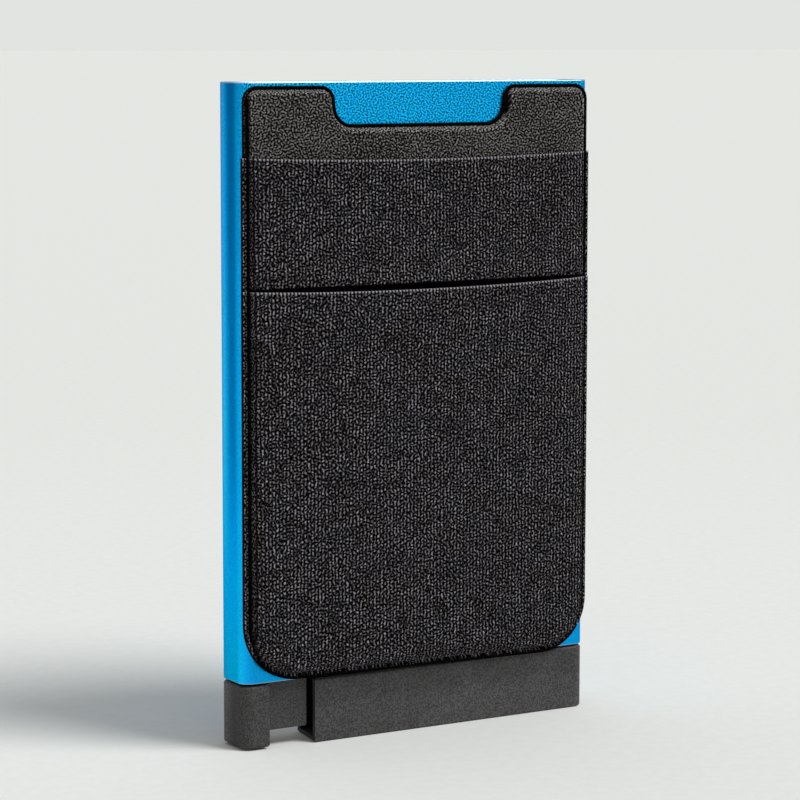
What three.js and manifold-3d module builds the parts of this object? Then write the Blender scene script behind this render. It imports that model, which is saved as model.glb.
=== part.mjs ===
// Pop-up card holder: an aluminium sleeve for cards stands on a plastic base, and a lever in
// the base's corner fans the cards out. A stretch fabric pocket is stuck on the sleeve's front.
// Millimetres, +Z up. The pocket faces -Y and the lever's handle is on the left, at -X.
// The origin is the middle of the case's underside.
import * as THREE from "three";
import { mergeVertices } from "three/addons/utils/BufferGeometryUtils.js";
import Module from "manifold-3d";

const wasm = await Module();
wasm.setup();

// Case: the sleeve, the base and the lever's handle share this outline
const caseWidth = 63;
const caseHeight = 102;
const caseDepth = 8;
const cornerRadius = 2;
const cornerSteps = 10; // facets in a rounded corner
const seamHeight = 10.4; // where the sleeve's lower edge is

// Sleeve
const sleeveWall = 0.9;
const sleeveChamfer = 0.15;

// Base
const baseSeamGap = 0.3; // base's top to the sleeve's lower edge
const baseWall = 1.05;
const plasticChamfer = 0.25; // outer edges of base and handle
const baseFloor = 0.8;
const mouthInset = 12.5; // the left end of the front wall, from the case's left side
const mouthSlant = 1.3; // how much further right the back wall begins
const leverBayLength = 8; // clear space behind the mouth, for the web to swing into
const ribCount = 4;
const ribThickness = 1;

// Plug: the part of the base that stands inside the sleeve
const plugGap = 0.15;
const plateThickness = 0.95; // carries the pivot, behind the lever
const plateLap = 5; // how far the plate reaches down inside the back wall
const rootSink = 0.4; // how deep the plug's roots are set in the walls
const railWidth = 3.1;
const railHeight = 9; // above the level that the cards stand on
const railLift = 0.4; // left rail's foot, above that level
const ledgeLength = 10; // right-hand ledge that the cards' corners stand on
const ledgeWall = 1;
const plateEndRadius = 1;

// Lever: handle, web and stepped arm in one moulding
const handleWidth = 4.7;
const handleTopGap = 0.4;
const handleFootGap = 0.35; // the handle hangs this far off the ground
const handleFootRadius = 0.6;
const handleEdgeRadius = 0.4;
const webFootHeight = 2.7;
const webMouthGap = 0.9;
const webRadius = 0.3;
const webLap = 2; // how far the web reaches into the handle
const leverFrontGap = 0.25; // to the sleeve's front wall
const leverBackGap = 0.2; // to the plate
const pivotInset = 5.2; // from the case's left side
const pivotRise = 2.8; // above the sleeve's lower edge
const hubRadius = 1.5;
const armRise = 1.7; // the arm's top edge, above the pivot
const cardCount = 5;
const shortReach = 22; // from the pivot to the front card's step
const longReach = 42; // and to the back card's step
const armRootDepth = 3.2;
const armTipDepth = 2;
const armTipRadius = 0.6;
const neckLean = 3; // how much the neck widens towards the arm

// Pivot pin, put in from the back
const pinRadius = 0.8;
const pinRunningGap = 0.07;
const pinHoleGap = 0.02;
const pinHeadRadius = 1.4;
const pinHeadThickness = 0.5;
const pinTipGap = 0.5; // from the pin's tip to the lever's front
const pinSteps = 24;

// Friction strips, on the inside of the sleeve's back wall
const stripThickness = 1;
const stripWidth = 7;
const stripSideInset = 11;
const stripTopInset = 5;
const stripLength = 62;
const stripRadius = 1.5;

// Pocket: its sheets lie on the sleeve's front, one on the other
const pocketLeftInset = 0.05; // from the case's left side
const pocketRightInset = 0.7;
const pocketTopInset = 0.6; // from the case's top
const pocketFoot = 10.4; // at its right end
const pocketFootRise = 0.5; // how much higher its left end is
const pocketFootRadius = 8.6;
const flapInset = 0.25; // the flap is this much narrower on each side
const flapRadius = 2.4;
const adhesiveThickness = 0.2;
const adhesiveInset = 1.4;
const backingThickness = 0.8;
const clothThickness = 0.6;
const pocketSlack = 0.25; // space behind each cloth panel
const pocketBorder = 1.6; // where the layers are pressed together
const rimWidth = 0.45; // outside the pressed groove
const grooveWidth = 0.5;
const grooveDepth = 0.25;
const innerMouthDrop = 10.65; // from the pocket's top to the inner panel's edge
const outerMouthDrop = 30.65;
const mouthSag = 0.45;
const mouthSteps = 12;

// Finger notch in the flap
const notchWidth = 30.8;
const notchDepth = 5.85;
const notchLean = 0.6; // each side slopes in by this much
const notchTopRadius = 2.3;
const notchFloorRadius = 2.9;

const overrun = 1; // how far a cut reaches past what it cuts

// Places that several pieces share
const left = -caseWidth / 2;
const right = caseWidth / 2;
const front = -caseDepth / 2;
const back = caseDepth / 2;
const innerHalfDepth = caseDepth / 2 - sleeveWall;
const baseTop = seamHeight - baseSeamGap;
const pivotX = left + pivotInset;
const pivotZ = seamHeight + pivotRise;
const cardFoot = pivotZ + armRise; // the cards stand on the arm at this level
const plateBack = innerHalfDepth - plugGap;
const plateFront = plateBack - plateThickness;
const leverBack = plateFront - leverBackGap;
const leverFront = -innerHalfDepth + leverFrontGap;
const mouthX = left + mouthInset;
const pocketLeft = left + pocketLeftInset;
const pocketRight = right - pocketRightInset;
const pocketTop = caseHeight - pocketTopInset;
const backingBack = front - adhesiveThickness;
const innerPanelBack = backingBack - backingThickness;
const outerPanelBack = innerPanelBack - clothThickness;

const finish = (color, roughness, metalness) =>
  new THREE.MeshStandardMaterial({ color, roughness, metalness });
const anodised = finish(0x0a93d6, 0.38, 0.85);
const blackPlastic = finish(0x333233, 0.6, 0);
const steel = finish(0xb9bcc0, 0.3, 1);
const felt = finish(0x1f1f21, 0.95, 0);
const adhesive = finish(0xd9d4c6, 0.7, 0);
const leatherette = finish(0x2c2a2a, 0.8, 0);
const stretchCloth = finish(0x242123, 0.9, 0);

// An outline through corners [x, y, radius], each rounded where it has a radius
function outline(corners) {
  const points = corners.flatMap(([x, y, radius = 0], i) => {
    const here = new THREE.Vector2(x, y);
    if (radius === 0) return [here];
    const [px, py] = corners[(i + corners.length - 1) % corners.length];
    const [nx, ny] = corners[(i + 1) % corners.length];
    const toLast = new THREE.Vector2(px, py).sub(here).normalize();
    const toNext = new THREE.Vector2(nx, ny).sub(here).normalize();
    const half = Math.acos(THREE.MathUtils.clamp(toLast.dot(toNext), -1, 1)) / 2;
    const centre = toLast.clone().add(toNext).normalize()
      .multiplyScalar(radius / Math.sin(half)).add(here);
    const tangent = radius / Math.tan(half);
    const from = toLast.clone().multiplyScalar(tangent).add(here).sub(centre).angle();
    const to = toNext.clone().multiplyScalar(tangent).add(here).sub(centre).angle();
    const arc = new THREE.EllipseCurve(
      centre.x, centre.y, radius, radius, from, to, toLast.cross(toNext) > 0,
    );
    return arc.getPoints(cornerSteps);
  });
  return new THREE.Shape(points);
}

// A shape drawn in plan (x, y), raised from one height to another, its ends' edges chamfered
function upright(shape, low, high, chamfer = 0) {
  return new THREE.ExtrudeGeometry(shape, {
    depth: high - low - 2 * chamfer,
    bevelEnabled: chamfer > 0,
    bevelThickness: chamfer,
    bevelSize: chamfer,
    bevelOffset: -chamfer,
    bevelSegments: 1,
  }).translate(0, 0, low + chamfer);
}

// A shape drawn as seen from the front (x, z), thickened from one depth to another
const facing = (shape, near, far) =>
  new THREE.ExtrudeGeometry(shape, { depth: far - near, bevelEnabled: false })
    .rotateX(Math.PI / 2).translate(0, far, 0);

// A round bar along Y
const crossBar = (radius, near, far, x, z) =>
  new THREE.CylinderGeometry(radius, radius, far - near, pinSteps).translate(x, (near + far) / 2, z);

const box = (x0, x1, y0, y1, z0, z1) =>
  new THREE.BoxGeometry(x1 - x0, y1 - y0, z1 - z0)
    .translate((x0 + x1) / 2, (y0 + y1) / 2, (z0 + z1) / 2);

function solid(geometry) {
  const bare = geometry.clone();
  bare.deleteAttribute("normal");
  bare.deleteAttribute("uv");
  const merged = mergeVertices(bare);
  return new wasm.Manifold(new wasm.Mesh({
    numProp: 3,
    vertProperties: Float32Array.from(merged.attributes.position.array),
    triVerts: Uint32Array.from(merged.index.array),
  }));
}

const join = (...geometries) => geometries.map(solid).reduce((whole, next) => whole.add(next));

function named(name, body, material) {
  const { vertProperties, triVerts } = body.getMesh();
  const geometry = new THREE.BufferGeometry();
  geometry.setAttribute("position", new THREE.BufferAttribute(vertProperties, 3));
  geometry.setIndex(new THREE.BufferAttribute(triVerts, 1));
  geometry.computeVertexNormals();
  const mesh = new THREE.Mesh(geometry, material);
  mesh.name = name;
  return mesh;
}

const rectangle = (x0, x1, y0, y1, radius) =>
  outline([[x0, y0, radius], [x1, y0, radius], [x1, y1, radius], [x0, y1, radius]]);

// Sleeve: a rounded rectangular tube, open at both ends
function sleeve() {
  const wall = rectangle(left, right, front, back, cornerRadius);
  wall.holes.push(rectangle(
    left + sleeveWall, right - sleeveWall, -innerHalfDepth, innerHalfDepth, cornerRadius - sleeveWall,
  ));
  const tube = upright(wall, seamHeight, caseHeight, sleeveChamfer);
  return named("sleeve", solid(tube), anodised);
}

// Base: a cored box with ribs, open at its left end, with the plug that holds it in the sleeve
function baseShell() {
  const plan = outline([
    [mouthX, front],
    [right, front, cornerRadius],
    [right, back, cornerRadius],
    [mouthX + mouthSlant, back],
  ]);
  let body = solid(upright(plan, 0, baseTop, plasticChamfer));

  // Bays between the ribs: wide in the shell, narrower where they core the ledge above it
  const plugLeft = left + sleeveWall + plugGap;
  const plugRight = right - sleeveWall - plugGap;
  const bayHalf = caseDepth / 2 - baseWall;
  const coreHalf = plateBack - ledgeWall;
  const bayStart = mouthX + mouthSlant + leverBayLength;
  const pitch = (plugRight - railWidth - bayStart) / ribCount;
  const bays = [[mouthX - overrun, bayStart]];
  for (let i = 0; i < ribCount; i++) {
    bays.push([bayStart + i * pitch + ribThickness, bayStart + (i + 1) * pitch]);
  }
  for (const [x0, x1] of bays) {
    body = body.subtract(solid(box(x0, x1, -bayHalf, bayHalf, baseFloor, baseTop + overrun)));
  }

  const plateFoot = mouthX + mouthSlant;
  const plate = facing(outline([
    [plugLeft, seamHeight + plugGap, plateEndRadius],
    [plateFoot, seamHeight + plugGap],
    [plateFoot, baseTop - plateLap],
    [plugRight, baseTop - plateLap],
    [plugRight, cardFoot],
    [plugLeft + railWidth, cardFoot],
    [plugLeft + railWidth, cardFoot + railHeight],
    [plugLeft, cardFoot + railHeight],
  ]), plateFront, plateBack);
  const leftRail = box(
    plugLeft, plugLeft + railWidth, -plateBack, plateBack, cardFoot + railLift, cardFoot + railHeight,
  );
  const rightRail = box(
    plugRight - railWidth, plugRight, -plateBack, plateBack, baseTop - plateLap, cardFoot + railHeight,
  );
  const ledge = box(
    plugRight - ledgeLength, plugRight, -plateBack, plateBack, baseTop - plateLap, cardFoot,
  );
  const bore = rectangle(plugLeft, plugRight, -plateBack, plateBack, cornerRadius - sleeveWall);
  const plug = join(plate, leftRail, rightRail, ledge).intersect(solid(upright(bore, 0, caseHeight)));

  // Roots that tie the plate and the ledge to the shell's walls
  const plateRoot = box(
    plateFoot, plugRight, plateFront, plateBack + rootSink, baseTop - plateLap, baseTop,
  );
  const ledgeRoot = box(
    plugRight - ledgeLength, plugRight, -plateBack - rootSink, 0, baseTop - plateLap, baseTop,
  );
  body = body.add(plug).add(join(plateRoot, ledgeRoot));
  for (const [x0, x1] of bays.slice(1)) {
    body = body.subtract(solid(box(x0, x1, -coreHalf, coreHalf, baseFloor, cardFoot + overrun)));
  }

  const head = crossBar(
    pinHeadRadius + pinRunningGap, plateBack - pinHeadThickness - pinRunningGap, plateBack + overrun,
    pivotX, pivotZ,
  );
  const hole = crossBar(pinRadius + pinHoleGap, plateFront - overrun, plateBack, pivotX, pivotZ);
  return named("base_shell", body.subtract(join(head, hole)), blackPlastic);
}

// Lever: the handle is flush with the case, and the rest swings inside it
function ejectorLever() {
  const handleRight = left + handleWidth;
  const handleTop = seamHeight - handleTopGap;
  const plan = outline([
    [left, front, cornerRadius],
    [handleRight, front, handleEdgeRadius],
    [handleRight, back, handleEdgeRadius],
    [left, back, cornerRadius],
  ]);
  const side = facing(outline([
    [left, handleFootGap, handleFootRadius],
    [handleRight, handleFootGap, handleEdgeRadius],
    [handleRight, handleTop],
    [left, handleTop],
  ]), front, back);
  const block = upright(plan, handleFootGap, handleTop, plasticChamfer);
  const handle = solid(block).intersect(solid(side));

  const webRight = mouthX - webMouthGap;
  const armRootFoot = cardFoot - armRootDepth;
  const web = facing(outline([
    [handleRight - webLap, webFootHeight],
    [webRight, webFootHeight, webRadius],
    [webRight, armRootFoot - neckLean / 2],
    [webRight + neckLean, armRootFoot + neckLean / 2],
    [pivotX, pivotZ],
    [pivotX - hubRadius / 2, pivotZ],
    [handleRight - webLap, handleTop - webLap],
  ]), leverFront, leverBack);
  const hub = crossBar(hubRadius, leverFront, leverBack, pivotX, pivotZ);

  // One step for each card: the further back the card, the longer its step
  const stepDepth = (leverBack - leverFront) / cardCount;
  const steps = [];
  for (let i = 0; i < cardCount; i++) {
    const reach = shortReach + (longReach - shortReach) * i / (cardCount - 1);
    const tip = pivotX + reach;
    steps.push(facing(outline([
      [pivotX, armRootFoot],
      [tip, cardFoot - armTipDepth, armTipRadius],
      [tip, cardFoot, armTipRadius],
      [pivotX, cardFoot],
    ]), leverFront + i * stepDepth, leverBack));
  }
  const hole = solid(crossBar(
    pinRadius + pinRunningGap, leverFront + pinTipGap - pinRunningGap, leverBack + overrun,
    pivotX, pivotZ,
  ));
  const body = handle.add(join(web, hub, ...steps)).subtract(hole);
  return named("ejector_lever", body, blackPlastic);
}

function pivotPin() {
  const head = crossBar(pinHeadRadius, plateBack - pinHeadThickness, plateBack, pivotX, pivotZ);
  const shank = crossBar(
    pinRadius, leverFront + pinTipGap, plateBack - pinHeadThickness / 2, pivotX, pivotZ,
  );
  return named("pivot_pin", join(head, shank), steel);
}

// A strip that presses lightly on the cards, so that they can't fall out
function frictionStrip(name, centreX) {
  const top = caseHeight - stripTopInset;
  const strip = rectangle(
    centreX - stripWidth / 2, centreX + stripWidth / 2, top - stripLength, top, stripRadius,
  );
  const body = solid(facing(strip, innerHalfDepth - stripThickness, innerHalfDepth));
  return named(name, body, felt);
}

// The flap's outline, drawn in by an inset that keeps its rounded corners in line
function flapOutline(inset) {
  const x0 = pocketLeft + flapInset + inset;
  const x1 = pocketRight - flapInset - inset;
  const top = pocketTop - inset;
  const foot = pocketFoot + inset;
  const middle = (x0 + x1) / 2;
  const half = notchWidth / 2 + inset;
  const floor = pocketTop - notchDepth - inset;
  const footRadius = pocketFootRadius - inset;
  const topRadius = notchTopRadius - inset;
  return outline([
    [x0, foot + pocketFootRise, footRadius],
    [x1, foot, footRadius],
    [x1, top, flapRadius - inset],
    [middle + half, top, topRadius],
    [middle + half - notchLean, floor, notchFloorRadius + inset],
    [middle - half + notchLean, floor, notchFloorRadius + inset],
    [middle - half, top, topRadius],
    [x0, top, flapRadius - inset],
  ]);
}

// A cloth panel's outline: its mouth sags a little between the sides
function panelOutline(mouth, inset, rise = 0) {
  const x0 = pocketLeft + inset;
  const x1 = pocketRight - inset;
  const foot = pocketFoot + inset;
  const radius = pocketFootRadius - inset;
  const edge = mouth + rise;
  const sag = new THREE.QuadraticBezierCurve(
    new THREE.Vector2(x1, edge), new THREE.Vector2((x0 + x1) / 2, edge - 2 * mouthSag),
    new THREE.Vector2(x0, edge),
  );
  const mouthLine = sag.getPoints(mouthSteps).map((point) => [point.x, point.y]);
  return outline([[x0, foot + pocketFootRise, radius], [x1, foot, radius], ...mouthLine]);
}

function adhesiveSheet() {
  const body = solid(facing(flapOutline(adhesiveInset), backingBack, front));
  return named("adhesive_sheet", body, adhesive);
}

// Pressed groove along an edge: a band between two insets of the same outline
function groove(outlineAt, face) {
  const cut = (inset) => solid(facing(outlineAt(inset), face - overrun, face + grooveDepth));
  return cut(rimWidth).subtract(cut(rimWidth + grooveWidth));
}

function pocketBacking() {
  const face = innerPanelBack;
  const sheet = solid(facing(flapOutline(0), face, backingBack));
  return named("pocket_backing", sheet.subtract(groove(flapOutline, face)), leatherette);
}

// A cloth panel, bonded to the layer behind it along its border and slack inside it
function clothPanel(name, mouth, rear) {
  const face = rear - clothThickness;
  const sheet = solid(facing(panelOutline(mouth, 0), face, rear));
  const slack = solid(facing(
    panelOutline(mouth, pocketBorder, overrun), rear - pocketSlack, rear + overrun,
  ));
  const pressed = groove((inset) => panelOutline(mouth, inset, overrun), face);
  return named(name, sheet.subtract(slack).subtract(pressed), stretchCloth);
}

const holder = new THREE.Group();
const stripX = right - stripSideInset;
holder.add(
  sleeve(),
  baseShell(),
  ejectorLever(),
  pivotPin(),
  frictionStrip("friction_strip_left", -stripX),
  frictionStrip("friction_strip_right", stripX),
  adhesiveSheet(),
  pocketBacking(),
  clothPanel("inner_panel", pocketTop - innerMouthDrop, innerPanelBack),
  clothPanel("outer_panel", pocketTop - outerMouthDrop, outerPanelBack),
);

export default holder;
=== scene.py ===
from math import cos, degrees, exp, pi, radians, tan

import bmesh
import bpy
from mathutils import Matrix, Vector, noise


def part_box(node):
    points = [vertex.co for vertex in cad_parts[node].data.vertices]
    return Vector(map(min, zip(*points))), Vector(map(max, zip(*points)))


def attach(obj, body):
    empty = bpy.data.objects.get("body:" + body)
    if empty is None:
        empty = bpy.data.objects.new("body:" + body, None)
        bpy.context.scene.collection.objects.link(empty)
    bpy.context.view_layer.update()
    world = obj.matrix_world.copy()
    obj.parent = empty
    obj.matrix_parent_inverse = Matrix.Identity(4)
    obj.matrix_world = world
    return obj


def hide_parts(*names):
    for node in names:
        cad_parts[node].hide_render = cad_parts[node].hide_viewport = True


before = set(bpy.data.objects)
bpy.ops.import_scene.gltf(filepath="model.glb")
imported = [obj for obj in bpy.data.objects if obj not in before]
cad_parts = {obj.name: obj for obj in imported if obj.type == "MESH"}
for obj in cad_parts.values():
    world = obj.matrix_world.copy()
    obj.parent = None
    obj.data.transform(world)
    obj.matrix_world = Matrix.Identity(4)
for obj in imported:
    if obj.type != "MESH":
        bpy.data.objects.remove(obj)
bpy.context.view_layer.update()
mm = 0.001
print("frame loaded:", len(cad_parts), "nodes")


# Mesh helpers

def frontFace(bm, corners, y):
    # corners are (x, z, radius), counter-clockwise as seen from the front, so the face looks to -Y
    places = [(x, y, z) for x, z, _ in corners]
    return roundedFace(bm, places, [radius for _, _, radius in corners])


def planFace(bm, corners, z):
    # corners are (x, y, radius), counter-clockwise as seen from above
    places = [(x, y, z) for x, y, _ in corners]
    return roundedFace(bm, places, [radius for _, _, radius in corners])


def roundedFace(bm, places, radii, steps=14):
    # makes the mesh's first face; a vertex bevel's offset runs along the edges, so it is the
    # tangent's length
    verts = [bm.verts.new(place) for place in places]
    bm.faces.new(verts)
    places = [Vector(place) for place in places]
    for i, (vert, radius) in enumerate(zip(verts, radii)):
        if radius > 0:
            turn = (places[i] - places[i - 1]).angle(places[(i + 1) % len(places)] - places[i])
            bmesh.ops.bevel(
                bm, geom=[vert], offset=radius * tan(turn / 2), offset_type="OFFSET",
                segments=steps, profile=0.5, affect="VERTICES", material=-1,
            )
    return next(iter(bm.faces))


def bevelEdges(bm, edges, offset, steps):
    return bmesh.ops.bevel(
        bm, geom=edges, offset=offset, offset_type="OFFSET", segments=steps, profile=0.5,
        affect="EDGES", material=-1, clamp_overlap=True,
    )["faces"]


def sharpEdges(bm, angle):
    return [e for e in bm.edges if e.is_manifold and degrees(e.calc_face_angle(0)) > angle]


def vertsOf(result):
    return [part for part in result["geom"] if isinstance(part, bmesh.types.BMVert)]


def cutAt(bm, axis, place, clear=False, merge=1e-7):
    # one cut across the whole mesh; clear takes away what lies past it
    normal, point = [0, 0, 0], [0, 0, 0]
    normal[axis], point[axis] = 1, place
    bmesh.ops.bisect_plane(
        bm, geom=bm.verts[:] + bm.edges[:] + bm.faces[:], dist=merge,
        plane_co=point, plane_no=normal, clear_outer=clear,
    )


def cutInCells(bm, low, high, cell):
    # upright and level cuts, about a cell apart
    for axis in (0, 2):
        count = round((high[axis] - low[axis]) / cell)
        for i in range(1, count):
            cutAt(bm, axis, low[axis] + (high[axis] - low[axis]) * i / count, merge=1e-6)


def addObject(name, data):
    thing = bpy.data.objects.new(name, data)
    bpy.context.scene.collection.objects.link(thing)
    return thing


def addMesh(name, bm, material):
    mesh = bpy.data.meshes.new(name)
    bm.to_mesh(mesh)
    bm.free()
    mesh.materials.append(material)
    return addObject(name, mesh)


def makePiece(name, bm, material, body, nodes=(), sharpAngle=40):
    # all is shaded smooth, apart from the sharp edges, which keep their line
    for face in bm.faces:
        face.smooth = True
    for edge in sharpEdges(bm, sharpAngle):
        edge.smooth = False
    piece = addMesh(name, bm, material)
    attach(piece, body)
    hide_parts(*nodes)
    return piece


def keepFlat(piece):
    # large faces are shaded flat and small ones round
    flat = piece.modifiers.new("flat faces", "WEIGHTED_NORMAL")
    flat.keep_sharp = True
    return piece


# Material helpers. Each takes the material, or the world, that its nodes go into.

def newMaterial(name, **sockets):
    material = bpy.data.materials.new(name)
    material.use_nodes = True
    shader = material.node_tree.nodes["Principled BSDF"]
    for socket, value in sockets.items():
        shader.inputs[socket.replace("_", " ")].default_value = value
    return material, shader


def addNode(material, kind, inputs=None, **settings):
    # inputs maps a socket's name or number to a value, or to another node's output
    node = material.node_tree.nodes.new("ShaderNode" + kind)
    for name, value in settings.items():
        setattr(node, name, value)
    for socket, value in (inputs or {}).items():
        if isinstance(value, bpy.types.NodeSocket):
            material.node_tree.links.new(value, node.inputs[socket])
        else:
            node.inputs[socket].default_value = value
    return node


def doMath(material, operation, *values):
    return addNode(material, "Math", dict(enumerate(values)), operation=operation).outputs[0]


def multiply(material, value, *others):
    for other in others:
        value = doMath(material, "MULTIPLY", value, other)
    return value


def remap(material, value, low, high, lowOut=0.0, highOut=1.0, smooth=True):
    inputs = {0: value, 1: low, 2: high, 3: lowOut, 4: highOut}
    kind = "SMOOTHSTEP" if smooth else "LINEAR"
    return addNode(material, "MapRange", inputs, interpolation_type=kind).outputs[0]


def aroundOne(material, value, reach, amount):
    # noise that goes a reach either way from 0.5 becomes a tone that goes an amount from 1
    return remap(material, value, 0.5 - reach, 0.5 + reach, 1 - amount, 1 + amount)


def mixValues(material, factor, first, second):
    return addNode(material, "Mix", {0: factor, 2: first, 3: second}).outputs[0]


def mixColours(material, factor, first, second, blend="MIX"):
    first, second = ((*c, 1) if isinstance(c, tuple) else c for c in (first, second))
    inputs = {0: factor, 6: first, 7: second}
    return addNode(material, "Mix", inputs, data_type="RGBA", blend_type=blend).outputs[2]


def toned(material, colour, tone):
    return mixColours(material, 1.0, colour, tone, "MULTIPLY")


def colourRamp(material, value, stops):
    node = addNode(material, "ValToRGB", {0: value})
    elements = node.color_ramp.elements
    while len(elements) < len(stops):
        elements.new(0.5)
    for element, (place, colour) in zip(elements, stops):
        element.position = place
        element.color = (*colour, 1)
    return node.outputs[0]


def linkTo(material, shader, **sockets):
    for socket, output in sockets.items():
        material.node_tree.links.new(output, shader.inputs[socket.replace("_", " ")])


def bumpFrom(material, height, distance, strength):
    inputs = {"Height": height, "Distance": distance, "Strength": strength}
    return addNode(material, "Bump", inputs).outputs[0]


def readAttribute(material, name):
    return addNode(material, "Attribute", attribute_name=name).outputs["Fac"]


def objectPlace(material):
    return addNode(material, "TexCoord").outputs["Object"]


def grain(material, place, size, detail, roughness=0.5):
    # noise with lumps about as wide as size
    inputs = {"Vector": place, "Scale": 1 / size, "Detail": detail, "Roughness": roughness}
    return addNode(material, "TexNoise", inputs).outputs[0]


# The front's fine grain spreads forwards from the pocket's middle, so that it doesn't smear on
# sloping edges
grainFan = {
    "height": 56 * mm,  # of the pocket's middle
    "closer": 1.18,  # how much closer together it is at y = 0 than on the cloth,
    "depth": 31 * mm,  # and how far forwards that falls by 1
    "spread": 1.3,  # of the curls' width
}


def evenGrain(material, place, width, height):
    # noise on the front's plane with neither clouds nor dust in it, light to light about a width
    # apart sideways and a height apart upwards
    x, y, z = addNode(material, "SeparateXYZ", {0: place}).outputs
    fan = doMath(material, "MULTIPLY_ADD", y, 1 / grainFan["depth"], grainFan["closer"])
    wide = multiply(material, x, fan)
    tall = doMath(material, "SUBTRACT", z, grainFan["height"])
    tall = multiply(material, tall, fan, width / height)
    flat = addNode(material, "CombineXYZ", {0: wide, 1: tall}).outputs[0]
    spread = grainFan["spread"]
    inputs = {"Vector": flat, "Scale": 1 / (width * spread), "Frequency": spread, "Anisotropy": 0.0}
    return addNode(material, "TexGabor", inputs, gabor_type="2D").outputs["Value"]


# Camera, at the photograph's viewing angle

cameraView = {
    "lens": 132.1,
    "place": (-236.2 * mm, -393.2 * mm, 108.8 * mm),
    "yaw": radians(30.85),  # to the right of +Y
    "tilt": radians(7.06),  # downwards
    "roll": radians(0.07),
}


def makeCamera():
    camera = addObject("camera", bpy.data.cameras.new("camera"))
    camera.data.lens = cameraView["lens"]
    camera.data.sensor_width = 36
    camera.data.clip_start = 0.01
    camera.data.clip_end = 100
    camera.matrix_world = (
        Matrix.Translation(cameraView["place"])
        @ Matrix.Rotation(-cameraView["yaw"], 4, "Z")
        @ Matrix.Rotation(pi / 2 - cameraView["tilt"], 4, "X")
        @ Matrix.Rotation(cameraView["roll"], 4, "Z")
    )
    bpy.context.scene.camera = camera


makeCamera()
print("camera placed")


# Sleeve: bead-blasted, anodised aluminium, with painted light in its colour. Low down its narrow
# sides are evenly lit. Higher up they are lighter by the front corner as a painted reflection,
# darkest along the middle as painted shade and palest by the back corner as a painted highlight.

sleeveLook = {
    "cornerRadius": 2 * mm,
    "wall": 0.9 * mm,
    "cutEdge": 0.16 * mm,
    "cutSteps": 3,
    "colour": (0.0045, 0.345, 0.77),
    "glancingColour": (0.02, 0.30, 0.62),
    "cutAndHighlightColour": (0.52, 0.56, 0.56),
    "cutAndHighlightShares": (0.8, 0.75, 0.5),  # how pale the top's edge, the end faces and the foot's edge are: partly bare cut metal, partly a painted highlight
    "cloudSize": 14 * mm,
    "cloudTone": 0.03,
    "paintedFrontTones": (0.96, 0.94),  # painted shade at the front's foot and top
    "paintedSideTones": (1.6, 0.74),  # painted light at the narrow sides' foot and top
    "evenHeights": (18 * mm, 55 * mm),  # up to the first their painted light is even, and past the second not
    "paintedEvenTone": 1.05,
    "paintedShadeTones": (1.2, 0.62),  # painted reflection by the front corner and painted shade along the middle
    "paintedShadeDepths": (-3.2 * mm, -1.3 * mm),
    "paintedGlowTone": 2.3,  # painted highlight by the back corner
    "paintedGlowDepths": (-0.8 * mm, 1.9 * mm),
    # the painted highlight by the back corner is also paler
    "paintedHighlightColour": (0.75, 0.9, 1.0),
    "paintedHighlightShare": 0.1,
    "paintedHighlightDepths": (0.7 * mm, 2.0 * mm),
    "roughness": (0.34, 0.48),
    "blastSize": 0.24 * mm,
    "blastDepth": 0.03 * mm,
    "blastBump": 0.35,
    "frontBlast": (0.52 * mm, 0.44 * mm),
    "frontRange": (0.36, 0.66),
    "frontSpeckle": (-1, 1.3),  # its darkest and lightest,
    "frontAmounts": (0.1, 0.8),  # and how strong it is at the foot and at the top
    "plainRange": (0.38, 0.62),
    "plainSpeckle": (-0.14, 0.14),  # of the back and sides,
    "plainDepths": (0.1 * mm, 1.2 * mm),  # which takes over so far behind the front
}


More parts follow.
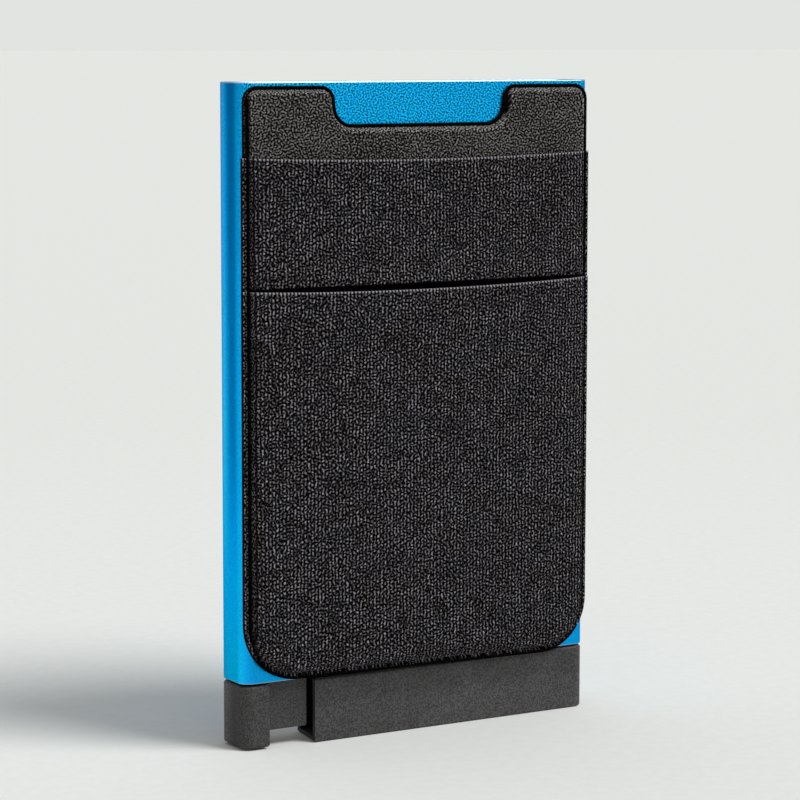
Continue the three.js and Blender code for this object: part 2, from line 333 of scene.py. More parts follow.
def sleeveMaterial():
    look = sleeveLook
    low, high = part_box("sleeve")
    material, shader = newMaterial(
        "anodised blue", Metallic=1.0, Specular_Tint=(*look["glancingColour"], 1),
    )
    place = objectPlace(material)
    blast = grain(material, place, look["blastSize"], 0.0)
    cloudy = grain(material, place, look["cloudSize"], 2.0)
    _, depth, height = addNode(material, "SeparateXYZ", {0: place}).outputs
    sideways = readAttribute(material, "sideways")
    # painted shade and highlights: the front and narrow sides by height, and higher up the sides by
    # depth
    front = remap(material, height, low.z, high.z, *look["paintedFrontTones"], smooth=False)
    side = remap(material, height, low.z, high.z, *look["paintedSideTones"], smooth=False)
    paintedShade = remap(material, depth, *look["paintedShadeDepths"], *look["paintedShadeTones"])
    paintedGlow = remap(material, depth, *look["paintedGlowDepths"])
    paintedShade = multiply(material, paintedShade, remap(material, paintedGlow, 0, 1, 1.0, look["paintedGlowTone"]))
    upper = remap(material, height, *look["evenHeights"])
    side = multiply(material, side, mixValues(material, upper, look["paintedEvenTone"], paintedShade))
    tone = mixValues(material, sideways, front, side)
    tone = multiply(material, tone, aroundOne(material, cloudy, 0.2, look["cloudTone"]))

    amount = remap(material, height, low.z, high.z, *look["frontAmounts"])
    even = evenGrain(material, place, *look["frontBlast"])
    even = remap(material, even, *look["frontRange"], *look["frontSpeckle"], smooth=False)
    even = multiply(material, amount, even)
    plain = remap(material, blast, *look["plainRange"], *look["plainSpeckle"], smooth=False)
    plainFrom, plainTo = look["plainDepths"]
    behind = remap(material, depth, low.y + plainFrom, low.y + plainTo)
    speckle = mixValues(material, behind, even, plain)
    tone = multiply(material, tone, doMath(material, "ADD", speckle, 1.0))

    colour = toned(material, look["colour"], tone)
    # a paler painted highlight by the back corner, higher up the narrow sides
    paintedPale = remap(material, depth, *look["paintedHighlightDepths"], 0.0, look["paintedHighlightShare"])
    paintedPale = multiply(material, sideways, paintedPale, upper)
    colour = mixColours(material, paintedPale, colour, look["paintedHighlightColour"])
    # cut edges and end faces are pale, partly as bare metal and partly as a painted highlight
    colour = mixColours(material, readAttribute(material, "cut"), colour, look["cutAndHighlightColour"])
    linkTo(
        material, shader, Base_Color=colour,
        Roughness=remap(material, blast, 0.3, 0.7, *look["roughness"]),
        Normal=bumpFrom(material, blast, look["blastDepth"], look["blastBump"]),
    )
    return material


def makeSleeve():
    look = sleeveLook
    low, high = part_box("sleeve")
    bm = bmesh.new()
    cut = bm.faces.layers.float.new("cut")
    sideways = bm.faces.layers.float.new("sideways")
    plan = [(low.x, low.y), (high.x, low.y), (high.x, high.y), (low.x, high.y)]
    middle = planFace(bm, [(x, y, look["cornerRadius"]) for x, y in plan], low.z)
    bmesh.ops.inset_region(
        bm, faces=[middle], thickness=look["wall"], use_boundary=True, use_even_offset=True,
    )
    bmesh.ops.delete(bm, geom=[middle], context="FACES_ONLY")
    tube = bmesh.ops.extrude_face_region(bm, geom=bm.faces[:], use_keep_orig=True)
    bmesh.ops.translate(bm, verts=vertsOf(tube), vec=(0, 0, high.z - low.z))
    bmesh.ops.recalc_face_normals(bm, faces=bm.faces[:])
    # the top's edge is palest, as a painted highlight on the bare cut metal
    topShare, endShare, footShare = look["cutAndHighlightShares"]
    halfway = (low.z + high.z) / 2
    for face in bevelEdges(bm, sharpEdges(bm, 60), look["cutEdge"], look["cutSteps"]):
        face[cut] = topShare if face.calc_center_median().z > halfway else footShare
    for face in bm.faces:
        face[sideways] = face.normal.x ** 2
        if abs(face.normal.z) > 0.9:
            face[cut] = endShare
    return keepFlat(makePiece(
        "sleeve_tube", bm, sleeveMaterial(), "case", ["sleeve"],
    ))


makeSleeve()
print("sleeve made")


# Base and lever: matte black mouldings with a fine spark-eroded grain. Their narrow ends are
# darker by the front corner as painted shade and paler by the back one as a painted highlight.

plasticLook = {
    "colour": (0.0505, 0.0478, 0.0486),
    "wornColour": (0.17, 0.168, 0.166),
    "wornShare": 0.8,
    "wornSize": 0.9 * mm,
    "wornRange": (0.5, 0.66),
    "paintedBayShade": 0.12,  # painted shade in the bay behind the mouth
    "grainSize": 0.24 * mm,
    "grainDepth": 0.02 * mm,
    "grainTone": 0.45,
    "grainBump": 0.8,
    "cloudSize": 5 * mm,
    "cloudTone": 0.12,
    "roughness": 0.6,
    "shine": 0.3,
    # painted shade by the narrow ends' front corner and a painted highlight by their back corner
    "paintedFrontShade": 0.72,
    "frontDepths": (-3.2 * mm, -1.9 * mm),
    "paintedBackHighlight": 3.6,
    "backDepths": (-0.9 * mm, 2.8 * mm),
    "endReach": 2.1 * mm,  # how far in from the ends the narrow faces go
    "paintedBaseTones": (0.93, 0.72),  # painted light: the base is lighter along its foot than above,
    "baseHeights": (5.0 * mm, 6.8 * mm),
    "paintedBaseShares": (0.94, 1.14),  # and at its right end than at the left
    "leverShade": 0.83,
    "mouthHeight": 10 * mm,
    "wallShown": 0.6 * mm,
    "floorShown": 0.1 * mm,
    "edgeRadius": 0.08 * mm,
    "edgeSteps": 2,
}


def plasticMaterial(name, shade, node=None):
    # a node that is given here gets the base's painted light along its foot and at its right end
    look = plasticLook
    material, shader = newMaterial(
        name, Roughness=look["roughness"], Specular_IOR_Level=look["shine"],
    )
    place = objectPlace(material)
    fine = grain(material, place, look["grainSize"], 0.0)
    cloudy = grain(material, place, look["cloudSize"], 3.0)
    dark, light = (1 - look["grainTone"]) * shade, (1 + look["grainTone"]) * shade
    tone = remap(material, fine, 0.35, 0.65, dark, light, smooth=False)
    tone = multiply(material, tone, aroundOne(material, cloudy, 0.2, look["cloudTone"]))
    # painted shade in the bay behind the mouth
    inside = readAttribute(material, "inside")
    inside = remap(material, inside, 0, 1, 1, look["paintedBayShade"], smooth=False)
    across, depth, height = addNode(material, "SeparateXYZ", {0: place}).outputs
    # the narrow ends' painted shade by the front corner and painted highlight by the back one
    end = multiply(
        material, remap(material, depth, *look["frontDepths"], 1.0, look["paintedFrontShade"]),
        remap(material, depth, *look["backDepths"], 1.0, look["paintedBackHighlight"]),
    )
    end = mixValues(material, readAttribute(material, "sideways"), 1.0, end)
    tone = multiply(material, tone, inside, end)
    if node:
        low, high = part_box(node)
        # painted light, lighter along the foot and at the right end
        paintedFootLight = remap(material, height, *look["baseHeights"], *look["paintedBaseTones"])
        share = remap(material, across, low.x, high.x, *look["paintedBaseShares"], smooth=False)
        tone = multiply(material, tone, multiply(material, paintedFootLight, share))
    plain = toned(material, look["colour"], tone)
    rubbed = grain(material, place, look["wornSize"], 3.0, 0.7)
    worn = remap(material, rubbed, *look["wornRange"], 0.0, look["wornShare"])
    worn = multiply(material, readAttribute(material, "edge"), worn)
    linkTo(
        material, shader, Base_Color=mixColours(material, worn, plain, look["wornColour"]),
        Normal=bumpFrom(material, fine, look["grainDepth"], look["grainBump"]),
    )
    return material


def roundedCopy(node):
    # the moulding as it was constructed, with every outer and inner edge softened
    look = plasticLook
    bm = bmesh.new()
    bm.from_mesh(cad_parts[node].data)
    bmesh.ops.remove_doubles(bm, verts=bm.verts[:], dist=0.002 * mm)
    bmesh.ops.dissolve_limit(bm, angle_limit=radians(1), verts=bm.verts[:], edges=bm.edges[:])
    edge = bm.faces.layers.float.new("edge")
    inside = bm.faces.layers.float.new("inside")
    sideways = bm.faces.layers.float.new("sideways")
    for face in bevelEdges(bm, sharpEdges(bm, 30), look["edgeRadius"], look["edgeSteps"]):
        face[edge] = 1.0
    end = max(abs(vert.co.x) for vert in bm.verts) - look["endReach"]
    for face in bm.faces:
        if abs(face.calc_center_median().x) > end:
            face[sideways] = face.normal.x ** 2
    return bm, inside


def makeBase():
    bm, inside = roundedCopy("base_shell")
    low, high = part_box("base_shell")
    mouth = low.z + plasticLook["mouthHeight"]
    # faces in the bay behind the mouth get painted shade
    for face in bm.faces:
        centre = face.calc_center_median()
        deep = abs(centre.y) < high.y - plasticLook["wallShown"]
        if deep and low.z + plasticLook["floorShown"] < centre.z < mouth:
            face[inside] = 1.0
    material = plasticMaterial("base plastic", 1.0, "base_shell")
    return keepFlat(makePiece(
        "base_moulding", bm, material, "case", ["base_shell"],
    ))


def makeLever():
    bm, _ = roundedCopy("ejector_lever")
    material = plasticMaterial("lever plastic", plasticLook["leverShade"])
    return keepFlat(makePiece(
        "lever_moulding", bm, material, "lever", ["ejector_lever"],
    ))


makeBase()
makeLever()
print("base and lever made")


# Pivot pin: its CAD shape stays, with turned steel on it

steelLook = {
    "ring": 0.06 * mm,  # from one turning mark to the next
    "ringDepth": 0.002 * mm,
    "ringBump": 0.5,
    "scratchSize": 0.3 * mm,
    "tones": [(0.3, (0.42, 0.43, 0.45)), (0.7, (0.66, 0.67, 0.69))],
    "roughness": (0.22, 0.4),
}


def steelMaterial():
    look = steelLook
    material, shader = newMaterial("turned steel", Metallic=1.0)
    low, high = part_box("pivot_pin")
    centre = (low + high) / 2
    place = addNode(material, "Mapping", {0: objectPlace(material), 1: -centre}).outputs[0]
    x, _, z = addNode(material, "SeparateXYZ", {0: place}).outputs
    square = doMath(material, "ADD", multiply(material, x, x), multiply(material, z, z))
    radius = doMath(material, "SQRT", square)
    rings = doMath(material, "SINE", multiply(material, radius, 2 * pi / look["ring"]))
    scratches = grain(material, place, look["scratchSize"], 3.0)
    linkTo(
        material, shader, Base_Color=colourRamp(material, scratches, look["tones"]),
        Roughness=remap(material, scratches, 0.3, 0.7, *look["roughness"]),
        Normal=bumpFrom(material, rings, look["ringDepth"], look["ringBump"]),
    )
    return material


def dressNode(node, material):
    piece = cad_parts[node]
    piece.data.materials.clear()
    piece.data.materials.append(material)


dressNode("pivot_pin", steelMaterial())


# Adhesive sheet: its CAD shape stays, a hazy acrylic tape

tapeLook = {
    "roughness": 0.45,
    "hazeSize": 1.6 * mm,
    "hazeDepth": 0.03 * mm,
    "hazeBump": 0.5,
    "tones": [(0.3, (0.50, 0.47, 0.41)), (0.7, (0.66, 0.63, 0.56))],
}


def tapeMaterial():
    look = tapeLook
    material, shader = newMaterial("acrylic tape", Roughness=look["roughness"])
    haze = grain(material, objectPlace(material), look["hazeSize"], 4.0, 0.6)
    linkTo(
        material, shader, Base_Color=colourRamp(material, haze, look["tones"]),
        Normal=bumpFrom(material, haze, look["hazeDepth"], look["hazeBump"]),
    )
    return material


dressNode("adhesive_sheet", tapeMaterial())


# Friction strips: felt on the inside of the sleeve's back wall

feltLook = {
    "cornerRadius": 1.5 * mm,
    "softEdge": 0.35 * mm,
    "edgeSteps": 3,
    "cell": 1.2 * mm,
    "nap": 0.07 * mm,
    "napSize": 1.1 * mm,
    "skin": 0.1 * mm,  # a vertex nearer than this to the front or back lies on it
    "sheen": 0.4,
    "fibreSize": 0.25 * mm,
    "fibreDepth": 0.15 * mm,
    "fibreBump": 0.9,
    "lumpSize": 1.5 * mm,
    "lumpTone": 0.2,
    "tones": [(0.3, (0.006, 0.006, 0.007)), (0.75, (0.05, 0.049, 0.052))],
}


def feltMaterial():
    look = feltLook
    material, shader = newMaterial(
        "felt", Roughness=1.0, Sheen_Weight=look["sheen"], Sheen_Roughness=0.5,
    )
    place = objectPlace(material)
    fibres = grain(material, place, look["fibreSize"], 5.0, 0.75)
    lumps = grain(material, place, look["lumpSize"], 2.0)
    tone = multiply(material, fibres, aroundOne(material, lumps, 0.2, look["lumpTone"]))
    linkTo(
        material, shader, Base_Color=colourRamp(material, tone, look["tones"]),
        Normal=bumpFrom(material, fibres, look["fibreDepth"], look["fibreBump"]),
    )
    return material


def makeStrip(node, name, material):
    look = feltLook
    low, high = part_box(node)
    bm = bmesh.new()
    corners = [(low.x, low.z), (high.x, low.z), (high.x, high.z), (low.x, high.z)]
    frontFace(bm, [(x, z, look["cornerRadius"]) for x, z in corners], low.y)
    back = bmesh.ops.extrude_face_region(bm, geom=bm.faces[:], use_keep_orig=True)
    bmesh.ops.translate(bm, verts=vertsOf(back), vec=(0, high.y - low.y, 0))
    bmesh.ops.recalc_face_normals(bm, faces=bm.faces[:])
    onFront = low.y + look["skin"]
    rim = [e for e in sharpEdges(bm, 60) if max(v.co.y for v in e.verts) < onFront]
    bevelEdges(bm, rim, look["softEdge"], look["edgeSteps"])
    cutInCells(bm, low, high, look["cell"])
    for vert in bm.verts:
        if vert.co.y < high.y - look["skin"]:
            lift = noise.noise(vert.co / look["napSize"]) * 0.5 + 0.5
            vert.co.y += look["nap"] * lift
    piece = makePiece(name, bm, material, "case", [node])


felt = feltMaterial()
makeStrip("friction_strip_left", "felt_strip_left", felt)
makeStrip("friction_strip_right", "felt_strip_right", felt)
print("pin, tape and felt made")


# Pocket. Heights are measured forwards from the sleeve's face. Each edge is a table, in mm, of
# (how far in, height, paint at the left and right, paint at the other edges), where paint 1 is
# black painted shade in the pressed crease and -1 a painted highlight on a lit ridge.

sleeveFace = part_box("sleeve")[0].y

pocketLook = {
    "footRadii": (9.2 * mm, 8.6 * mm),  # of its left and right corner
    "footDrops": (-0.3 * mm, 0.65 * mm),  # how far the cloth's foot comes down at left and right
    "flapDrops": (-0.75 * mm, -0.3 * mm),  # and the flap's, which stays inside the cloth's
    "sideReach": 2.5 * mm,  # farther from the sides than this, the other edges' paint holds
    "litSlopes": (0.2, 0.5),  # a normal's z where the painted highlight begins, and how much more until it is full
    "paintedCreaseShade": 0.03,
    "paintedRidgeHighlight": 2.2,
}


def smoothStep(value):
    value = min(max(value, 0), 1)
    return value * value * (3 - 2 * value)


def insetSteps(bm, face, edge, inward):
    # follows the edge's table inwards, ring by ring; the face ends as the middle
    for last, step in zip(edge, edge[1:]):
        bmesh.ops.inset_region(
            bm, faces=[face], use_boundary=True, use_even_offset=True,
            thickness=(step[0] - last[0]) * mm, depth=(step[1] - last[1]) * mm,
        )
        for vert in face.verts:
            vert[inward] = step[0]


def readTable(table, inward, column):
    for last, step in zip(table, table[1:]):
        if inward < step[0]:
            rise = (step[column] - last[column]) * (inward - last[0]) / (step[0] - last[0])
            return last[column] + rise
    return table[-1][column]


def paintEdge(bm, edge, inward, paint):
    # painted shade and highlights along the edge, and slopes that face up get a painted highlight
    bm.normal_update()
    left, right = min(v.co.x for v in bm.verts), max(v.co.x for v in bm.verts)
    groove = next(step[0] for step in edge if step[2] == 1)
    litFrom, litOver = pocketLook["litSlopes"]
    for vert in bm.verts:
        beside = min(vert.co.x - left, right - vert.co.x) - vert[inward] * mm
        other = smoothStep(beside / pocketLook["sideReach"])
        atSide, elsewhere = (readTable(edge, vert[inward], column) for column in (2, 3))
        value = atSide * (1 - other) + elsewhere * other
        lit = smoothStep((vert.normal.z - litFrom) / litOver) if vert[inward] > groove else 0
        vert[paint] = value - (value + 1) * lit


def paintTone(material):
    # paint 1 darkens to black painted shade and -1 lightens to a painted highlight
    paint = readAttribute(material, "paint")
    dark = remap(material, paint, 0.25, 0.95, 1.0, pocketLook["paintedCreaseShade"])
    light = remap(material, paint, -1.0, 0.0, pocketLook["paintedRidgeHighlight"], 1.0)
    return multiply(material, dark, light)


# Flap: leatherette sheet

flapLook = {
    "spare": 0.1 * mm,  # how much wider than its solid
    "sideRadius": 2.4 * mm,
    "notchWidth": 30.8 * mm,
    "notchDepth": 5.85 * mm,
    "notchLean": 0.6 * mm,
    "notchTopRadius": 2.3 * mm,
    "notchFloorRadius": 2.9 * mm,
    "back": 0.05 * mm,
    "cell": 2.5 * mm,
    "edge": [
        (0, 0.40, 0.95, 1), (0.05, 0.50, 0.8, 1), (0.12, 0.54, 0.65, 1), (0.28, 0.54, 0.7, 1),
        (0.34, 0.48, 1, 1), (0.42, 0.36, 1, 1), (0.54, 0.35, 0.8, 1), (0.62, 0.42, 0.9, 0.9),
        (0.76, 0.68, 0.9, 0.8), (0.90, 0.96, 0.5, 0.5), (1.02, 1.12, -0.2, -0.2),
        (1.10, 1.17, -0.6, -0.7), (1.24, 1.18, -0.5, -0.6), (1.40, 1.16, -0.1, 0),
        (1.7, 1.15, 0, 0),
    ],
    # under the cloth the edge is pressed down further, to (how far in, height)
    "underCloth": [
        (0, 0.25), (0.7, 0.2), (0.94, 0.15), (1.06, 0.27), (1.2, 0.6), (1.35, 0.95), (1.6, 1.15),
    ],
    "underMouth": 1 * mm,  # so far below the inner cloth's mouth
    "shine": 0.03,
    "roughness": 0.9,
    "poreSize": 0.3 * mm,
    "poreDepth": 0.05 * mm,
    "poreBump": 0.8,
    "creaseSize": (0.56 * mm, 0.48 * mm),
    "cloudSize": 5 * mm,
    "cloudShift": 0.02,
    "tones": [
        (0.40, (0.001, 0.001, 0.001)), (0.50, (0.019, 0.0183, 0.0178)),
        (0.66, (0.165, 0.158, 0.153)),
    ],
}


def leatherMaterial():
    look = flapLook
    material, shader = newMaterial(
        "leatherette", Roughness=look["roughness"], Specular_IOR_Level=look["shine"],
    )
    place = objectPlace(material)
    pores = grain(material, place, look["poreSize"], 0.0)
    cloudy = grain(material, place, look["cloudSize"], 2.0)
    cloudy = remap(material, cloudy, 0.3, 0.7, -look["cloudShift"], look["cloudShift"])
    creases = evenGrain(material, place, *look["creaseSize"])
    creases = doMath(material, "ADD", creases, cloudy)
    colour = colourRamp(material, creases, look["tones"])
    linkTo(
        material, shader, Base_Color=toned(material, colour, paintTone(material)),
        Normal=bumpFrom(material, pores, look["poreDepth"], look["poreBump"]),
    )
    return material


def makeFlap():
    look = flapLook
    low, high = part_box("pocket_backing")
    left, right = low.x - look["spare"], high.x + look["spare"]
    middle = (low.x + high.x) / 2
    half = look["notchWidth"] / 2
    floor = high.z - look["notchDepth"]
    side = look["sideRadius"]
    leftRadius, rightRadius = pocketLook["footRadii"]
    leftFoot, rightFoot = (low.z - drop for drop in pocketLook["flapDrops"])
    bm = bmesh.new()
    inward = bm.verts.layers.float.new("inward")
    paint = bm.verts.layers.float.new("paint")
    face = frontFace(bm, [
        (left, leftFoot, leftRadius), (right, rightFoot, rightRadius), (right, high.z, side),
        (middle + half, high.z, look["notchTopRadius"]),
        (middle + half - look["notchLean"], floor, look["notchFloorRadius"]),
        (middle - half + look["notchLean"], floor, look["notchFloorRadius"]),
        (middle - half, high.z, look["notchTopRadius"]),
        (left, high.z, side),
    ], sleeveFace - look["edge"][0][1] * mm)
    insetSteps(bm, face, look["edge"], inward)
    wall = bmesh.ops.extrude_edge_only(bm, edges=[e for e in bm.edges if e.is_boundary])
    for vert in vertsOf(wall):
        vert.co.y = sleeveFace - look["back"]
    backEdges = [part for part in wall["geom"] if isinstance(part, bmesh.types.BMEdge)]
    bmesh.ops.contextual_create(bm, geom=backEdges)
    cutInCells(bm, low, high, look["cell"])
    bmesh.ops.recalc_face_normals(bm, faces=bm.faces[:])
    paintEdge(bm, look["edge"], inward, paint)

    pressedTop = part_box("inner_panel")[1].z - look["underMouth"]
    for vert in bm.verts:
        limit = sleeveFace - readTable(look["underCloth"], vert[inward], 1) * mm
        if vert.co.y < limit:
            vert.co.y += (limit - vert.co.y) * smoothStep((pressedTop - vert.co.z) / mm)
    piece = makePiece("flap_sheet", bm, leatherMaterial(), "case", ["pocket_backing"])
    return piece


makeFlap()
print("flap made")


# Cloth panels: stretch knit with fine upright ribs

knitLook = {
    "shine": 0.03,
    "roughness": 0.95,
    "wale": 0.61 * mm,  # from rib to rib
    "wander": 0.5,  # of a wale
    "wanderSize": 1.3 * mm,
    "furrowTone": 0.15,
    "furrowSides": (0.1, 0.36),  # in wales, from the furrow's middle
    "stitch": 0.88 * mm,  # from loop to loop along a rib
    "loopEnd": 0.3,  # of a stitch
    "loopEndTone": 0.6,
    "faintLoop": 0.5,
    "loopDepth": 0.06 * mm,
    "loopBump": 0.8,
    "strandSize": (0.58 * mm, 0.52 * mm),
    "strandRange": (0.44, 0.68),
    "patchSize": 2.5 * mm,
    "patchTone": 0.12,
    "browner": (0.315, 0.288, 0.299),
    "bluer": (0.302, 0.284, 0.326),
    "hueSize": 5 * mm,
    "paintedFoldTones": (0.05, 1.1),  # painted shade between and painted highlight on the loops along the fold of the hem
    "ragged": 0.9,  # edge of the black painted shade over the mouth
    "rib": 0.035 * mm,
    "ripple": 0.03 * mm,
    "rippleSize": 3 * mm,
    "row": 2 * mm,
    "mouthRow": 0.15 * mm,
    "pressedEdge": 1,  # mm inwards, and past it the cloth rises
    "edgeRise": 0.6,
    "cloth": 0.3 * mm,
    "pressedCloth": 0.1 * mm,
    "wrap": 0.08 * mm,  # height of the cut edge where it is wrapped round the flap's
    "wrapWidth": 0.3,  # so many mm in from the edge,
    "wrapTurn": 0.2,  # the last of them sloping
    "hem": 0.5 * mm,  # thickness at the mouth, where the cloth is folded over
    "hemDepth": 1.0 * mm,
    "hemRow": 0.3 * mm,  # the row of loops that shows along the fold
    "hemRowEdge": 0.1 * mm,
    "sag": 0.7 * mm,
    "overrun": 5 * mm,
}

# Each panel has its pressed edge and a swelling behind its mouth
panels = {
    "inner": {
        "node": "inner_panel", "name": "inner_pocket_cloth", "restsOn": "flap_sheet",
        "spare": 0.12 * mm,  # how much wider than its solid
        "edge": [
            (0, 0.60, 0.9, 1), (0.05, 0.68, 0.3, 1), (0.12, 0.72, -0.4, 1), (0.32, 0.72, -0.2, 1),
            (0.42, 0.71, 0.4, 0.8), (0.62, 0.69, 0.7, 0.5), (0.70, 0.63, 1, 0.3),
            (0.78, 0.50, 1, 0.2), (0.94, 0.50, 1, 0.1), (1.06, 0.62, 0.9, 0),
            (1.2, 0.98, 0.6, -0.2), (1.35, 1.30, 0.5, -0.3), (1.6, 1.50, 0.45, -0.2),
            (2.0, 1.63, 0.35, 0), (2.6, 1.73, 0.2, 0), (3.2, 1.79, 0, 0), (4.4, 1.84, 0, 0),
        ],
        "bow": 0.15 * mm, "bowReach": 9 * mm,
    },
    "outer": {
        "node": "outer_panel", "name": "outer_pocket_cloth", "restsOn": "inner_pocket_cloth",
        "spare": 0.16 * mm,
        "edge": [
            (0, 0.70, 0.9, 1), (0.05, 0.78, 0.3, 1), (0.12, 0.82, -0.4, 1), (0.32, 0.82, -0.2, 1),
            (0.42, 0.81, 0.4, 0.8), (0.62, 0.79, 0.7, 0.5), (0.70, 0.73, 1, 0.3),
            (0.78, 0.62, 1, 0.2), (0.94, 0.62, 1, 0.1), (1.06, 0.78, 0.9, 0),
            (1.2, 1.22, 0.6, -0.2), (1.35, 1.64, 0.5, -0.3), (1.6, 1.91, 0.45, -0.2),
            (2.0, 2.08, 0.35, 0), (2.6, 2.20, 0.2, 0), (3.2, 2.26, 0, 0), (4.4, 2.30, 0, 0),
        ],
        "bow": 0.55 * mm, "bowReach": 8 * mm,
    },
}

# The swelling starts so far from the sides, and is full so much farther in
bowSides = (1.2 * mm, 9 * mm)

# Above the outer pocket's mouth the inner cloth swells and then dips under the mouth
dipLook = {
    "swell": 0.35 * mm,
    "swellReach": 4 * mm,
    "dip": 0.75 * mm,
    "dipReach": 1.0 * mm,
    "deepest": 0.35 * mm,
    "shade": 0.95 * mm,  # height of the black painted shade over the mouth, in its middle
    "shadeAtSide": 0.3 * mm,
    "shadeEdge": 1.5,  # in such heights, where it has faded out
}


def knitMaterial():
    look = knitLook
    material, shader = newMaterial(
        "stretch knit", Roughness=look["roughness"], Specular_IOR_Level=look["shine"],
    )
    place = objectPlace(material)
    x, _, z = addNode(material, "SeparateXYZ", {0: place}).outputs
    wander = grain(material, place, look["wanderSize"], 1.0)
    across = doMath(material, "DIVIDE", x, look["wale"])
    across = doMath(material, "MULTIPLY_ADD", wander, look["wander"], across)
    column = doMath(material, "FLOOR", across)
    shift = addNode(material, "TexWhiteNoise", {"W": column}, noise_dimensions="1D").outputs[0]
    up = doMath(material, "MULTIPLY_ADD", z, 1 / look["stitch"], shift)
    stitch = {0: column, 1: doMath(material, "FLOOR", up)}
    stitch = addNode(material, "CombineXYZ", stitch).outputs[0]
    chance = addNode(material, "TexWhiteNoise", {0: stitch}, noise_dimensions="2D").outputs[0]

    side = doMath(material, "PINGPONG", across, 0.5)  # 0 in the furrow, 0.5 on the rib
    end = doMath(material, "PINGPONG", up, 0.5)  # 0 between two loops, 0.5 in a loop's middle
    rib = remap(material, side, *look["furrowSides"], look["furrowTone"], 1.0)
    end = remap(material, end, 0.0, look["loopEnd"], look["loopEndTone"], 1.0)
    chance = remap(material, chance, 0, 1, look["faintLoop"], 1.0, smooth=False)
    loop = multiply(material, rib, end, chance)
    strands = evenGrain(material, place, *look["strandSize"])
    patchy = grain(material, place, look["patchSize"], 3.0)
    patchy = aroundOne(material, patchy, 0.15, look["patchTone"])
    bright = multiply(material, loop, remap(material, strands, *look["strandRange"]), patchy)
    # along the hem's fold, painted highlight on the loops and painted shade between them
    paintedFold = remap(material, rib, 0.3, 0.9, *look["paintedFoldTones"])
    bright = mixValues(material, readAttribute(material, "hem"), bright, paintedFold)

    # black painted shade over the outer pocket's mouth, with a ragged edge
    paintedGapShade = readAttribute(material, "paintedGapShade")
    paintedGapShade = doMath(material, "MULTIPLY_ADD", strands, look["ragged"], paintedGapShade)
    paintedGapShade = remap(material, paintedGapShade, 0.75, 1.0, 1.0, 0.0)
    hue = remap(material, grain(material, place, look["hueSize"], 2.0), 0.4, 0.6)
    yarn = mixColours(material, hue, look["browner"], look["bluer"])
    tone = multiply(material, bright, paintTone(material), paintedGapShade)
    linkTo(
        material, shader, Base_Color=toned(material, yarn, tone),
        Normal=bumpFrom(material, loop, look["loopDepth"], look["loopBump"]),
    )
    return material


def panelFace(bm, look, low, high, inward):
    # the face reaches above the mouth, so that the mouth cuts straight through its pressed edge
    top = high.z + knitLook["overrun"]
    leftRadius, rightRadius = pocketLook["footRadii"]
    leftFoot, rightFoot = (low.z - drop for drop in pocketLook["footDrops"])
    left, right = low.x - look["spare"], high.x + look["spare"]
    face = frontFace(bm, [
        (left, leftFoot, leftRadius), (right, rightFoot, rightRadius),
        (right, top, 0), (left, top, 0),
    ], sleeveFace - look["edge"][0][1] * mm)
    insetSteps(bm, face, look["edge"], inward)


def cutPanel(bm, low, high, outerMouth=None):
    # one cut for each rib and one for each furrow, and rows that are closer near the mouths
    step = knitLook["wale"] / 2
    for i in range(int(low.x / step), int(high.x / step) + 1):
        cutAt(bm, 0, i * step)
    row, mouthRow = knitLook["row"], knitLook["mouthRow"]
    rows = [low.z + row * i for i in range(1, int((high.z - low.z) / row))]
    rows += [high.z - mouthRow * i for i in range(1, 8)]
    if outerMouth is not None:
        rows += [outerMouth + mouthRow * i for i in range(-3, 20)]
    for z in rows:
        cutAt(bm, 2, z)


def pastEdge(inward):
    # 0 on the pressed edge, 1 on the cloth that rises inside it
    return smoothStep((inward - knitLook["pressedEdge"]) / knitLook["edgeRise"])


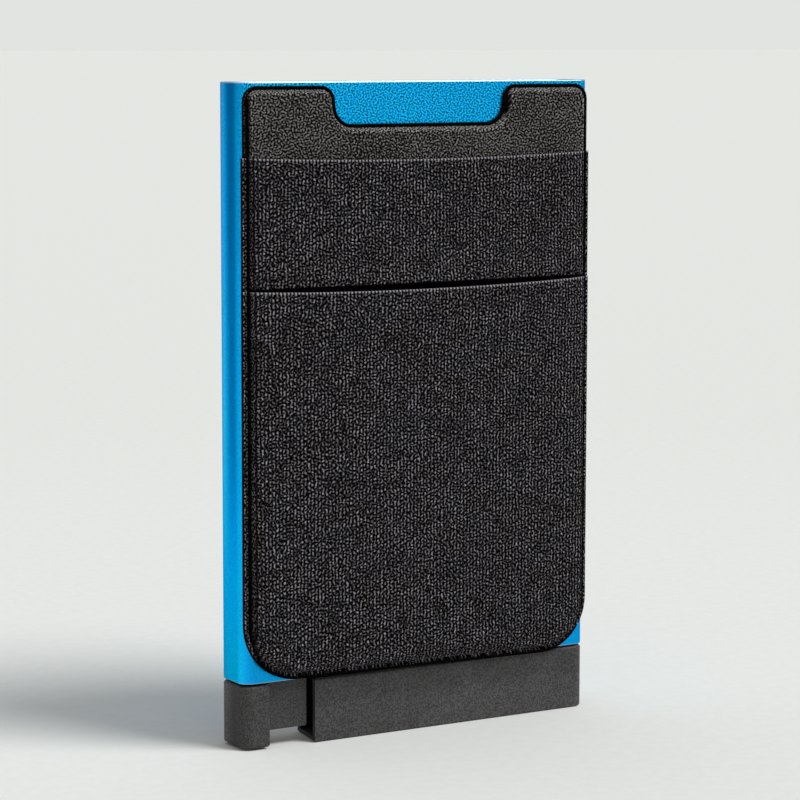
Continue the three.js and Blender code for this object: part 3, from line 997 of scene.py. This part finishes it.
def makePanel(which, material):
    look = panels[which]
    low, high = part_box(look["node"])
    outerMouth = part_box("outer_panel")[1].z
    half = (high.x - low.x) / 2
    middle = (high.x + low.x) / 2
    bm = bmesh.new()
    layers = bm.verts.layers.float
    inward, paint, hem, paintedGapShade = (layers.new(name) for name in ("inward", "paint", "hem", "paintedGapShade"))
    panelFace(bm, look, low, high, inward)
    cutAt(bm, 2, high.z, clear=True)
    cutPanel(bm, low, high, outerMouth if which == "inner" else None)

    bowFrom, bowOver = bowSides
    for vert in bm.verts:
        x, z = vert.co.x, vert.co.z
        bend = 1 - min(abs(x - middle) / half, 1) ** 2
        inside = smoothStep((half - abs(x - middle) - bowFrom) / bowOver)
        below = (high.z - z) / look["bowReach"]
        lift = look["bow"] * inside * exp(-below * below)
        if which == "inner":
            above = z - outerMouth
            lift += dipLook["swell"] * inside * exp(-(above / dipLook["swellReach"]) ** 2)
            lift -= dipLook["dip"] * inside * smoothStep(1 - above / dipLook["dipReach"])
            lift = max(lift, -dipLook["deepest"])
            # the inner cloth gets black painted shade over the outer mouth, and under it where it
            # lies hidden
            shade = dipLook["shadeAtSide"] + (dipLook["shade"] - dipLook["shadeAtSide"]) * bend
            shaded = smoothStep(dipLook["shadeEdge"] - above / shade)
            vert[paintedGapShade] = shaded if vert[inward] > knitLook["pressedEdge"] else 0
        rib = cos(2 * pi * x / knitLook["wale"]) * knitLook["rib"]
        ripple = knitLook["ripple"] * noise.noise(vert.co / knitLook["rippleSize"])
        lift += (rib + ripple) * pastEdge(vert[inward])
        vert.co.y -= lift
        share = (z - low.z) / (outerMouth - low.z)
        vert.co.z -= knitLook["sag"] * bend * min(share, 1)
        vert[hem] = smoothStep((z - high.z + knitLook["hemRow"]) / knitLook["hemRowEdge"])
    paintEdge(bm, look["edge"], inward, paint)

    # the back of the cloth, which is thicker at the hem and wrapped over at the cut edge
    behind = bmesh.ops.extrude_face_region(bm, geom=bm.faces[:], use_keep_orig=True)
    pressed = knitLook["pressedCloth"]
    for vert in vertsOf(behind):
        raised = pastEdge(vert[inward])
        thick = pressed + (knitLook["cloth"] - pressed) * raised
        depth = (high.z - vert.co.z - knitLook["sag"]) / knitLook["hemDepth"]
        thick += (knitLook["hem"] - knitLook["cloth"]) * smoothStep(1 - depth) * raised
        wrapped = smoothStep((knitLook["wrapWidth"] - vert[inward]) / knitLook["wrapTurn"])
        flat = sleeveFace - knitLook["wrap"] - vert.co.y
        vert.co.y += thick + (flat - thick) * wrapped
    bmesh.ops.recalc_face_normals(bm, faces=bm.faces[:])
    piece = makePiece(look["name"], bm, material, "case", [look["node"]], 70)
    return piece


knit = knitMaterial()
makePanel("inner", knit)
print("inner cloth made")
makePanel("outer", knit)
print("outer cloth made")


# Stage: a pale floor under plain soft light

stageLook = {
    "floorColour": (0.765, 0.78, 0.753),
    "floorSize": 40,
    "speckSize": 2 * mm,
    "speckTone": 0.015,
    "paintedLightNear": 1.03,  # painted light: the floor is a little paler round the object
    "nearReach": (60 * mm, 400 * mm),
    "skyColour": (0.76, 0.775, 0.75),
    "fill": 0.43,
    "sunTurn": radians(38),  # to the right of the camera's side of the object
    "sunHeight": radians(50),
    "sunStrength": 2.34,
    "sunSoftness": radians(28),
}


def floorMaterial():
    look = stageLook
    material, shader = newMaterial("pale floor", Roughness=0.85)
    place = objectPlace(material)
    speck = grain(material, place, look["speckSize"], 3.0)
    # painted light, a little paler round the object
    away = addNode(material, "VectorMath", {0: place}, operation="LENGTH").outputs["Value"]
    paintedPool = remap(material, away, *look["nearReach"], look["paintedLightNear"], 1.0)
    tone = multiply(material, aroundOne(material, speck, 0.2, look["speckTone"]), paintedPool)
    linkTo(material, shader, Base_Color=toned(material, look["floorColour"], tone))
    return material


def makeStage():
    look = stageLook
    bm = bmesh.new()
    bmesh.ops.create_grid(bm, x_segments=8, y_segments=8, size=look["floorSize"] / 2)
    addMesh("floor", bm, floorMaterial())

    sun = addObject("sun", bpy.data.lights.new("sun", "SUN"))
    sun.data.energy = look["sunStrength"]
    sun.data.angle = look["sunSoftness"]
    sun.rotation_euler = (pi / 2 - look["sunHeight"], 0, look["sunTurn"])

    # camera, gloss and glass see the sky's colour, and the fill lights all else
    world = bpy.data.worlds.new("studio")
    bpy.context.scene.world = world
    world.use_nodes = True
    nodes = world.node_tree.nodes
    sky = nodes["Background"]
    sky.inputs["Color"].default_value = (*look["skyColour"], 1)
    fill = addNode(world, "Background", {"Color": (1, 1, 1, 1), "Strength": look["fill"]})
    rays = addNode(world, "LightPath").outputs
    seen = doMath(world, "MAXIMUM", rays["Is Camera Ray"], rays["Is Glossy Ray"])
    seen = doMath(world, "MAXIMUM", seen, rays["Is Transmission Ray"])
    mix = addNode(world, "MixShader", {0: seen, 1: fill.outputs[0], 2: sky.outputs[0]})
    world.node_tree.links.new(mix.outputs[0], nodes["World Output"].inputs["Surface"])


makeStage()
bpy.context.scene.view_settings.view_transform = "Standard"
print("stage lit")
